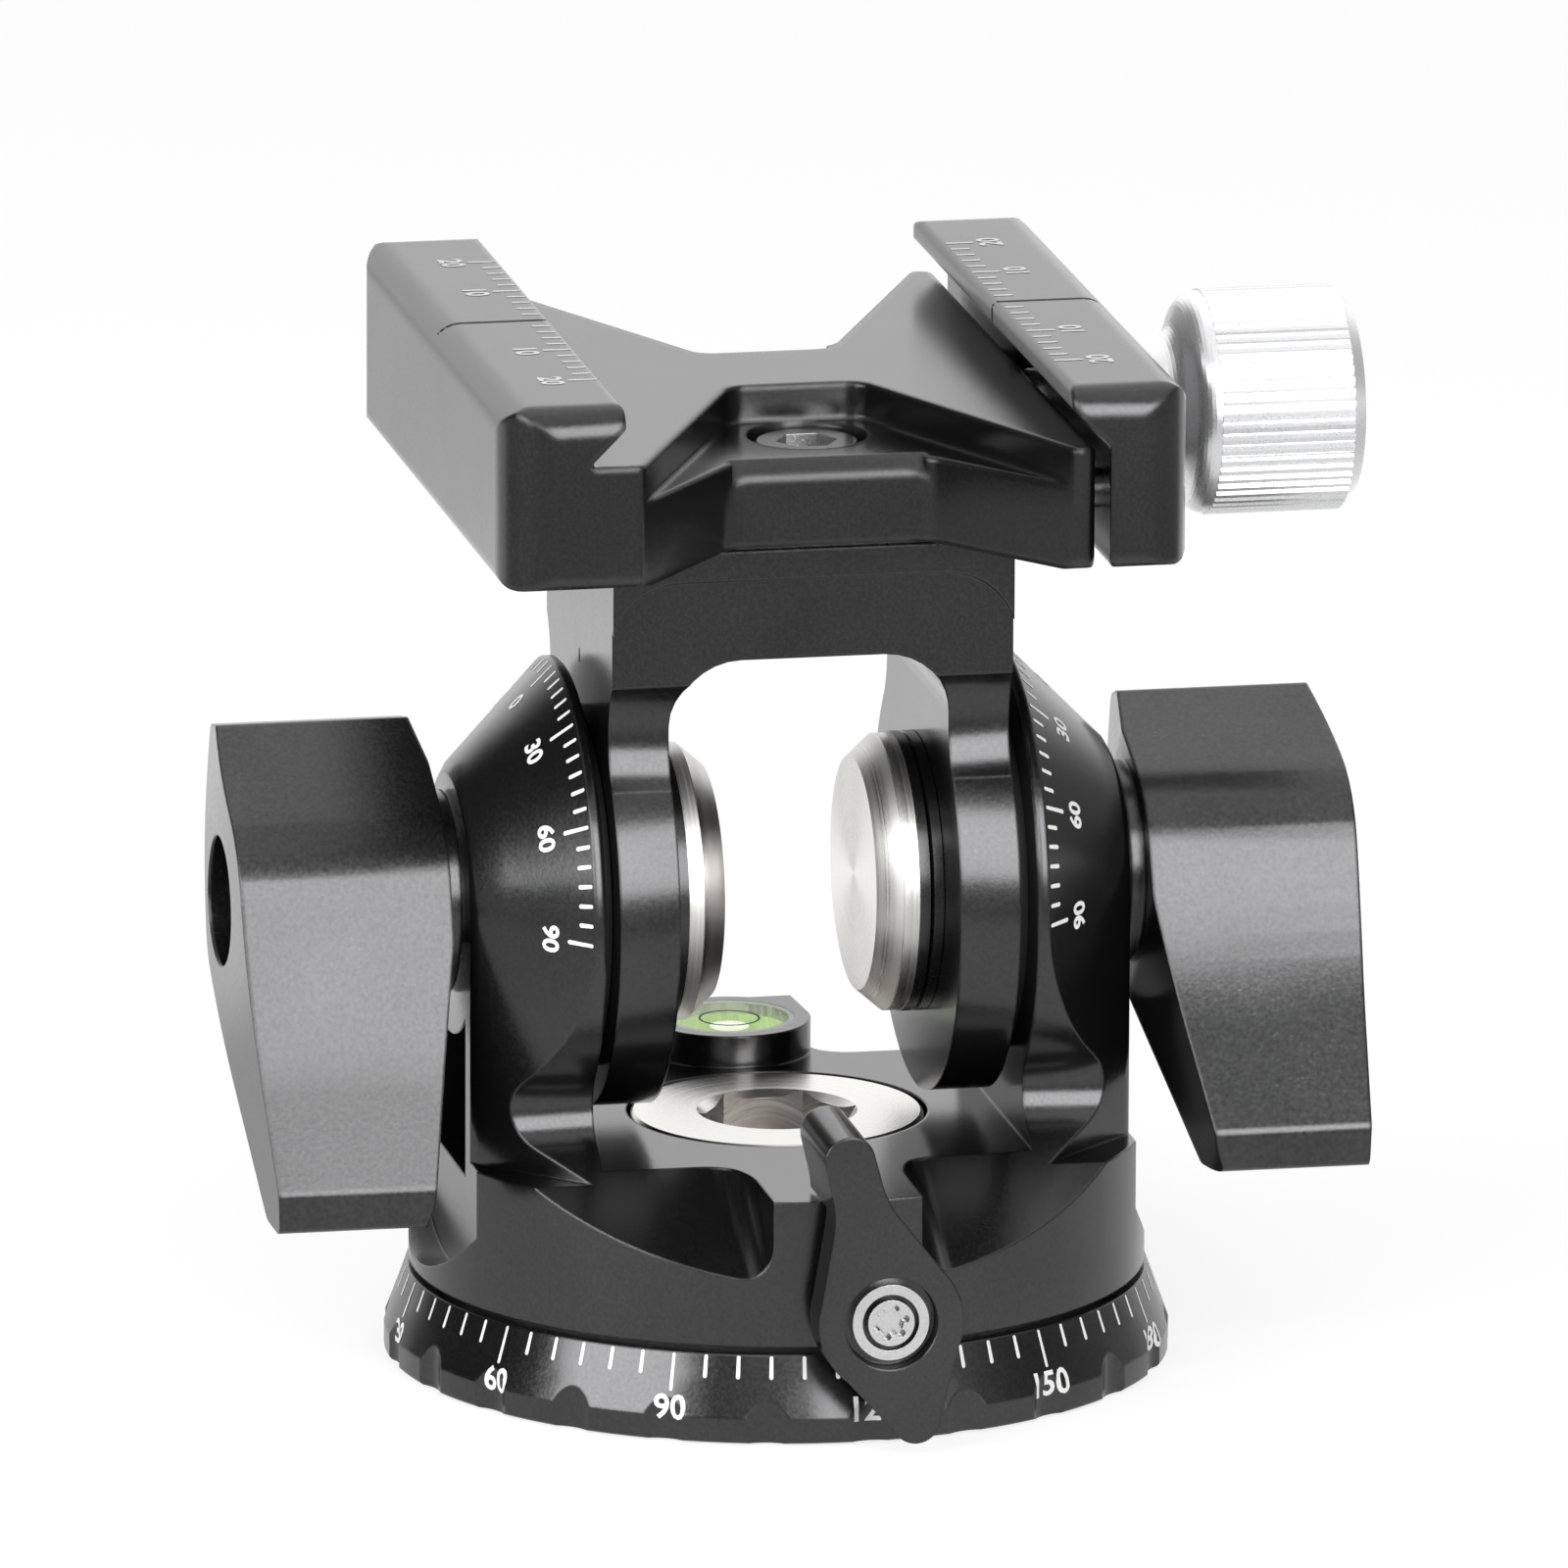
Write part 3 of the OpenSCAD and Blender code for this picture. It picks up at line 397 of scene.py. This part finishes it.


# painted glint: the sockets in the heads of the clamp's mount screws take a brighter steel finish, standing in for
# the glints of light inside them
mountScrew = {"headRadius": 4.3, "socket": 2.4, "rim": 0.2}
screwsLow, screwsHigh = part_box("clamp_mount_screws")
mountScrew["top"] = screwsHigh.z / mm
mountScrew["y"] = 0.5 * (screwsHigh.y - screwsLow.y) / mm - mountScrew["headRadius"]


def inSocket(centre, normal):
    away = centre.x ** 2 + (abs(centre.y) - mountScrew["y"]) ** 2
    return centre.z < mountScrew["top"] - mountScrew["rim"] and away < mountScrew["socket"] ** 2


# painted shade on the lever's washer seat and screw flanks
secondFinish(shaded["pan_lever_washer"], "blackOxide", inSeat)
secondFinish(shaded["pan_lever_screw"], "blackOxide", onFlank)
# painted glint in the sockets of the mount screws
secondFinish(shaded["clamp_mount_screws"], "brightScrew", inSocket)

plainNodes = {
    "pivot_bolt_left": "turnedCap", "pivot_bolt_right": "turnedCap",
    "pressure_ring_left": "blackOxide", "pressure_ring_right": "blackOxide",
    "friction_washer_left": "frictionPolymer", "friction_washer_right": "frictionPolymer",
    "knob_screw_left": "blackOxide", "knob_screw_right": "blackOxide",
    "pan_axle": "turnedAxle", "axle_washer": "bearingBronze", "pan_washer": "slipPolymer",
    "thread_insert": "turnedAxle", "pan_lock_stud": "brightScrew", "pan_lock_shoe": "bearingBronze",
    "clamp_knob": "silverAnodised", "clamp_screw": "brightScrew", "clamp_clip": "blackOxide",
    "jaw_guide_pins": "brightScrew",
    "level_cup": "levelCup", "level_fluid": "levelLiquid", "level_lens": "clearLens",
}
for node, finish in plainNodes.items():
    nodes[node].data.materials.clear()
    nodes[node].data.materials.append(finishes[finish])
print("nodes finished:", len(plainNodes))


# scales: strokes and figures laid on the surfaces

fill = {"lift": 0.025, "standOff": 4, "roundEnds": 12, "curveSteps": 3, "weld": 1e-5, "finest": 0.3, "splits": 3}


def surfaceOf(piece):
    bm = bmesh.new()
    bm.from_mesh(piece.data)
    tree = BVHTree.FromBMesh(bm)
    bm.free()
    return tree


def strokeShape(length, width):
    bm = bmesh.new()
    bmesh.ops.create_circle(bm, cap_ends=True, segments=fill["roundEnds"], radius=width / 2)
    upper = [v for v in bm.verts if v.co.y > 1e-9]
    bmesh.ops.translate(bm, verts=upper, vec=(0, length - width, 0))
    bmesh.ops.translate(bm, verts=bm.verts, vec=(0, width / 2, 0))
    return bm


# figures stand about the origin, cut fine enough to bend with the surface
def figureShape(text, height, weight, widen):
    words = bpy.data.curves.new("figures", "FONT")
    words.body = text
    words.align_x = "CENTER"
    words.offset = weight
    words.resolution_u = fill["curveSteps"]
    holder = bpy.data.objects.new("figures", words)
    scene.collection.objects.link(holder)
    bpy.context.view_layer.update()
    mesh = bpy.data.meshes.new_from_object(holder.evaluated_get(bpy.context.evaluated_depsgraph_get()))
    bm = bmesh.new()
    bm.from_mesh(mesh)
    bpy.data.objects.remove(holder)
    bpy.data.curves.remove(words)
    bpy.data.meshes.remove(mesh)
    bmesh.ops.remove_doubles(bm, verts=bm.verts, dist=fill["weld"])
    low = min(v.co.y for v in bm.verts)
    size = max(v.co.y for v in bm.verts) - low
    bmesh.ops.translate(bm, verts=bm.verts, vec=(0, -low - size / 2, 0))
    bmesh.ops.scale(bm, verts=bm.verts, vec=(height / size * widen, height / size, 1))
    for step in range(fill["splits"]):
        longEdges = [e for e in bm.edges if e.calc_length() > fill["finest"]]
        bmesh.ops.subdivide_edges(bm, edges=longEdges, cuts=1)
        bmesh.ops.triangulate(bm, faces=bm.faces)
    return bm


# a flat shape is stood off the surface and then pressed on to it
def press(into, shape, tree, origin, right, up, lift=fill["lift"]):
    out = right.cross(up)
    for v in shape.verts:
        flatPlace = origin + right * v.co.x + up * v.co.y
        place, normal, index, far = tree.ray_cast((flatPlace + out * fill["standOff"]) * mm, -out)
        v.co = place + normal * lift * mm if place else flatPlace * mm
    flat = bpy.data.meshes.new("pressed")
    shape.to_mesh(flat)
    shape.free()
    into.from_mesh(flat)
    bpy.data.meshes.remove(flat)


# one mark hangs down from its tip; a long one has its figures under it
def pressMark(into, spec, tree, tip, right, up, value):
    isLong = value % spec["longEach"] == 0
    length, width = spec["long"] if isLong else spec["short"]
    press(into, strokeShape(length, width), tree, tip - up * length, right, up)
    if isLong:
        figures = figureShape(str(abs(value)), spec["figureHeight"], spec["weight"], spec["widen"])
        press(into, figures, tree, tip - up * spec["figureDrop"], right, up)


# strokes are given as length and width
panScale = {"offset": 153.035, "step": 5, "longEach": 30, "reach": 30, "top": 6.3, "short": (1.65, 0.31),
            "long": (2.69, 0.26), "figureDrop": 3.86, "figureHeight": 1.92, "weight": 0.022, "widen": 1.0}


def makePanScale(spec, tree):
    bm = bmesh.new()
    up = Vector((0, 0, 1))
    for angle in range(0, 360, spec["step"]):
        turn = radians(angle + spec["offset"])
        out = Vector((cos(turn), sin(turn), 0))
        pressMark(bm, spec, tree, out * spec["reach"] + up * spec["top"], up.cross(out), up, angle)
    return bm


tiltScale = {"rim": 17.25, "rimX": 17.1, "inset": 0.27, "ahead": 1.4, "last": 90, "step": 5, "longEach": 30,
             "short": (1.25, 0.33), "long": (2.3, 0.33), "figureDrop": 3.83, "figureHeight": 1.55,
             "weight": 0.032, "widen": 1.05}


def makeTiltScale(spec, tree, sideSign):
    bm = bmesh.new()
    side = Vector((sideSign, 0, 0))
    slant = sqrt(0.5)  # the cone leans by 45 degrees
    for angle in range(-spec["last"], spec["last"] + 1, spec["step"]):
        turn = radians(angle + spec["ahead"])
        radial = Vector((0, -sin(turn), cos(turn)))
        up = (radial - side) * slant
        out = (radial + side) * slant
        tip = tiltAxis + side * spec["rimX"] + radial * spec["rim"] - up * spec["inset"]
        pressMark(bm, spec, tree, tip, up.cross(out), up, angle)
    return bm


ruler = {"span": 20, "step": 2, "longEach": 10, "top": 79.4, "short": (1.5, 0.42), "long": (2.2, 0.42),
         "figureDrop": 3.4, "figureHeight": 1.85, "weight": 0.034, "widen": 1.05}
rulerLips = {"left": -17.72, "right": 16.62}


def makeRuler(spec, tree, lip):
    bm = bmesh.new()
    up = Vector((1, 0, 0)) if lip < 0 else Vector((-1, 0, 0))
    right = up.cross(Vector((0, 0, 1)))
    for y in range(-spec["span"], spec["span"] + 1, spec["step"]):
        if y:
            pressMark(bm, spec, tree, Vector((lip, y, spec["top"])), right, up, y)
    return bm


surfaces = {n: surfaceOf(shaded[n]) for n in ("base_ring", "pan_body", "clamp_base", "clamp_jaw", "tilt_fork")}
addPiece("panScaleMarks", makePanScale(panScale, surfaces["base_ring"]), "scaleFill", "base")
addPiece("tiltScaleLeftMarks", makeTiltScale(tiltScale, surfaces["pan_body"], -1), "scaleFill", "pan")
addPiece("tiltScaleRightMarks", makeTiltScale(tiltScale, surfaces["pan_body"], 1), "scaleFill", "pan")
addPiece("fixedRulerMarks", makeRuler(ruler, surfaces["clamp_base"], rulerLips["left"]), "scaleFill", "fork")
addPiece("jawRulerMarks", makeRuler(ruler, surfaces["clamp_jaw"], rulerLips["right"]), "scaleFill", "jaw")

# the fork's mark that points at the left tilt scale
tiltIndex = {"top": 54.2, "length": 1.1, "stroke": 0.3, "x": -15.5}
indexShape = bmesh.new()
press(indexShape, strokeShape(tiltIndex["length"], tiltIndex["stroke"]), surfaces["tilt_fork"],
      Vector((tiltIndex["x"], 0, tiltIndex["top"] - tiltIndex["length"])), Vector((0, -1, 0)), Vector((0, 0, 1)))
addPiece("tiltIndexMark", indexShape, "grooveFill", "fork")

# painted shade: a near-black strip across the middle of each jaw stands in for the shade in its cut line, which on
# the right also runs down the lip
midLines = {"width": 0.42, "lift": 0.02, "pieces": 24, "top": 79.4, "left": (-17.7, -25.9), "right": (16.55, 24.2),
            "lipLow": 77.7, "lipPieces": 6}


def lineShape(width, length, pieces):
    bm = bmesh.new()
    bmesh.ops.create_grid(bm, x_segments=1, y_segments=pieces, size=0.5)
    bmesh.ops.scale(bm, verts=bm.verts, vec=(width, length, 1))
    bmesh.ops.translate(bm, verts=bm.verts, vec=(0, length / 2, 0))
    return bm


def makeMidLine(spec, tree, lip, outer):
    bm = bmesh.new()
    up = Vector((1, 0, 0)) if outer > lip else Vector((-1, 0, 0))
    shape = lineShape(spec["width"], abs(outer - lip), spec["pieces"])
    press(bm, shape, tree, Vector((lip, 0, spec["top"])), up.cross(Vector((0, 0, 1))), up, spec["lift"])
    return bm


leftLine = makeMidLine(midLines, surfaces["clamp_base"], *midLines["left"])
addPiece("fixedMidLine", leftLine, "grooveFill", "fork")
rightLine = makeMidLine(midLines, surfaces["clamp_jaw"], *midLines["right"])
lipShape = lineShape(midLines["width"], midLines["top"] - midLines["lipLow"], midLines["lipPieces"])
press(rightLine, lipShape, surfaces["clamp_jaw"], Vector((midLines["right"][0], 0, midLines["lipLow"])),
      Vector((0, -1, 0)), Vector((0, 0, 1)), midLines["lift"])
addPiece("jawMidLine", rightLine, "grooveFill", "jaw")
print("scales laid on")


# target ring on the lens of the level, and the bubble under it
level = {"y": 18.5, "ringOuter": 2.33, "ringWidth": 0.16, "ringHeight": 0.03, "ringLift": 0.01, "ringSides": 64,
         "bubble": 1.5, "bubbleSides": (40, 16), "bubbleFlat": 0.1, "bubbleLift": 0.18}


def makeTarget(spec, height):
    bm = bmesh.new()
    inside = 1 - spec["ringWidth"] / spec["ringOuter"]
    bmesh.ops.create_circle(bm, segments=spec["ringSides"], radius=spec["ringOuter"] * mm)
    made = bmesh.ops.extrude_edge_only(bm, edges=bm.edges)
    inner = [v for v in made["geom"] if isinstance(v, bmesh.types.BMVert)]
    bmesh.ops.scale(bm, verts=inner, vec=(inside, inside, 1))
    bmesh.ops.solidify(bm, geom=bm.faces, thickness=spec["ringHeight"] * mm)
    bmesh.ops.recalc_face_normals(bm, faces=bm.faces)
    bmesh.ops.translate(bm, verts=bm.verts, vec=Vector((0, spec["y"], height)) * mm)
    return bm


def makeBubble(spec, height):
    bm = bmesh.new()
    across, along = spec["bubbleSides"]
    bmesh.ops.create_uvsphere(bm, u_segments=across, v_segments=along, radius=spec["bubble"] * mm)
    bmesh.ops.scale(bm, verts=bm.verts, vec=(1, 1, spec["bubbleFlat"]))
    bmesh.ops.translate(bm, verts=bm.verts, vec=Vector((0, spec["y"], height)) * mm)
    return bm


lensLow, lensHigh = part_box("level_lens")
addPiece("levelTarget", makeTarget(level, lensHigh.z / mm + level["ringLift"]), "grooveFill", "pan")
addPiece("levelBubble", makeBubble(level, lensLow.z / mm + level["bubbleLift"]), "levelBubble", "pan")
print("level finished")


# studio, in metres

# a soft box stands towards an azimuth (0 in front, right is positive) and an elevation
def areaBox(name, toward, distance, size, radiance):
    lamp = bpy.data.lights.new(name, "AREA")
    lamp.shape = "RECTANGLE"
    lamp.size, lamp.size_y = size
    lamp.energy = radiance * pi * size[0] * size[1]
    lampObject = bpy.data.objects.new(name, lamp)
    azimuth, elevation = (radians(v) for v in toward)
    aim = Vector((sin(azimuth) * cos(elevation), -cos(azimuth) * cos(elevation), sin(elevation)))
    lampObject.location = tiltAxis * mm + aim * distance
    lampObject.rotation_euler = aim.to_track_quat("Z", "Y").to_euler()
    scene.collection.objects.link(lampObject)


lamps = {
    "softBoxRight": {"toward": (16, 25), "distance": 0.7, "size": (0.36, 0.45), "radiance": 5.6},
    "softBoxLeft": {"toward": (-60, 20), "distance": 0.9, "size": (0.66, 0.52), "radiance": 6.2},
    "softBoxBridge": {"toward": (-20, 38.5), "distance": 0.9, "size": (0.34, 0.13), "radiance": 4.4},
}
for name, spec in lamps.items():
    areaBox(name, **spec)

# white to the camera, an even fill for matt surfaces, and darker walls in what mirrors;
# each span gives the part of a direction over which one strength runs into the next
backdrop = {"seen": 1.0, "fill": 0.5, "ahead": 0.6, "behind": 1.3, "depthSpan": (-0.3, 0.35),
            "left": 0.05, "leftSpan": (-0.55, -0.25), "right": 0.3, "rightSpan": (0.6, 0.9),
            "above": 1.0, "aboveSpan": (0.6, 0.92)}


def makeWorld(spec):
    world = bpy.data.worlds.new("whiteStudio")
    world.use_nodes = True
    tree = world.node_tree
    sky = tree.nodes["Background"]
    way = splitXyz(tree, tree.nodes.new("ShaderNodeTexCoord").outputs["Generated"])
    depth = mapRange(tree, way["Y"], *spec["depthSpan"], spec["ahead"], spec["behind"])
    leftSide = mapRange(tree, way["X"], *spec["leftSpan"], spec["left"], 1.0)
    rightSide = mapRange(tree, way["X"], *spec["rightSpan"], 1.0, spec["right"])
    above = mapRange(tree, way["Z"], *spec["aboveSpan"], 0.0, spec["above"])
    walls = mathNode(tree, "MULTIPLY", mathNode(tree, "MULTIPLY", depth, leftSide), rightSide)
    mirrored = mathNode(tree, "MAXIMUM", walls, above)
    rays = tree.nodes.new("ShaderNodeLightPath")
    unseen = mixNode(tree, "FLOAT", rays.outputs["Is Glossy Ray"], spec["fill"], mirrored)
    strength = mixNode(tree, "FLOAT", cameraRays(tree, rays), unseen, spec["seen"])
    feed(tree, strength, sky.inputs["Strength"])
    feed(tree, (1, 1, 1, 1), sky.inputs["Color"])
    scene.world = world


makeWorld(backdrop)

# pale to the camera, plain for matt surfaces, and a glow that changes with distance in what mirrors
ground = {"radius": 2.5, "sides": 96, "drop": 0.0002, "albedo": 0.8, "seenAlbedo": 0.3, "seenGlow": 0.77,
          "nearGloss": 0.8, "farGloss": 0.44, "farSpan": (0.12, 0.22),
          "backGloss": 1.2, "backSpan": (0.04, 0.12), "deepGloss": 0.92, "deepSpan": (0.22, 0.29)}


def floorMaterial(spec):
    material = bpy.data.materials.new("paleFloor")
    material.use_nodes = True
    tree = material.node_tree
    tree.nodes.remove(tree.nodes["Principled BSDF"])

    def matt(albedo):
        diffuse = tree.nodes.new("ShaderNodeBsdfDiffuse")
        feed(tree, (albedo, albedo, albedo, 1), diffuse.inputs["Color"])
        return diffuse.outputs[0]

    def glow(strength):
        emission = tree.nodes.new("ShaderNodeEmission")
        feed(tree, strength, emission.inputs["Strength"])
        return emission.outputs[0]

    place = objectPlace(tree)
    away = addNode(tree, "ShaderNodeVectorMath", operation="LENGTH")
    feed(tree, place, away.inputs[0])
    y = splitXyz(tree, place)["Y"]
    ahead = mapRange(tree, away.outputs["Value"], *spec["farSpan"], spec["nearGloss"], spec["farGloss"])
    back = mapRange(tree, y, *spec["backSpan"], 0.0, spec["backGloss"])
    deep = mapRange(tree, y, *spec["deepSpan"], spec["backGloss"], spec["deepGloss"])
    gloss = mathNode(tree, "MAXIMUM", ahead, mathNode(tree, "MINIMUM", back, deep))
    seen = tree.nodes.new("ShaderNodeAddShader")
    feed(tree, matt(spec["seenAlbedo"]), seen.inputs[0])
    feed(tree, glow(spec["seenGlow"]), seen.inputs[1])
    rays = tree.nodes.new("ShaderNodeLightPath")
    unseen = mixShaders(tree, rays.outputs["Is Glossy Ray"], matt(spec["albedo"]), glow(gloss))
    surface = mixShaders(tree, cameraRays(tree, rays), unseen, seen.outputs[0])
    feed(tree, surface, tree.nodes["Material Output"].inputs["Surface"])
    return material


def makeFloor(spec):
    bm = bmesh.new()
    bmesh.ops.create_circle(bm, cap_ends=True, segments=spec["sides"], radius=spec["radius"])
    bmesh.ops.translate(bm, verts=bm.verts, vec=(0, 0, -spec["drop"]))
    mesh = bpy.data.meshes.new("floor")
    bm.to_mesh(mesh)
    bm.free()
    mesh.materials.append(floorMaterial(spec))
    floor = bpy.data.objects.new("floor", mesh)
    scene.collection.objects.link(floor)


makeFloor(ground)

# angles in degrees, target, distance, lens and sensor in mm
shot = {"azimuth": -11.3178, "elevation": 13.8275, "roll": 0.2358, "target": (0.4399, 0, 43.0572),
        "distance": 1955.617, "lens": 601.026, "sensor": 36}


def makeCamera(spec):
    azimuth, elevation, roll = (radians(spec[k]) for k in ("azimuth", "elevation", "roll"))
    back = Vector((sin(azimuth) * cos(elevation), -cos(azimuth) * cos(elevation), sin(elevation)))
    across = Vector((cos(azimuth), sin(azimuth), 0))
    rise = back.cross(across)
    right = across * cos(roll) + rise * sin(roll)
    up = rise * cos(roll) - across * sin(roll)
    lens = bpy.data.cameras.new("photoCamera")
    lens.lens = spec["lens"]
    lens.sensor_width = spec["sensor"]
    camera = bpy.data.objects.new("photoCamera", lens)
    turn = Matrix((right, up, back)).transposed().to_4x4()
    camera.matrix_world = Matrix.Translation((Vector(spec["target"]) + back * spec["distance"]) * mm) @ turn
    scene.collection.objects.link(camera)
    bpy.context.scene.camera = camera


makeCamera(shot)
print("studio set")
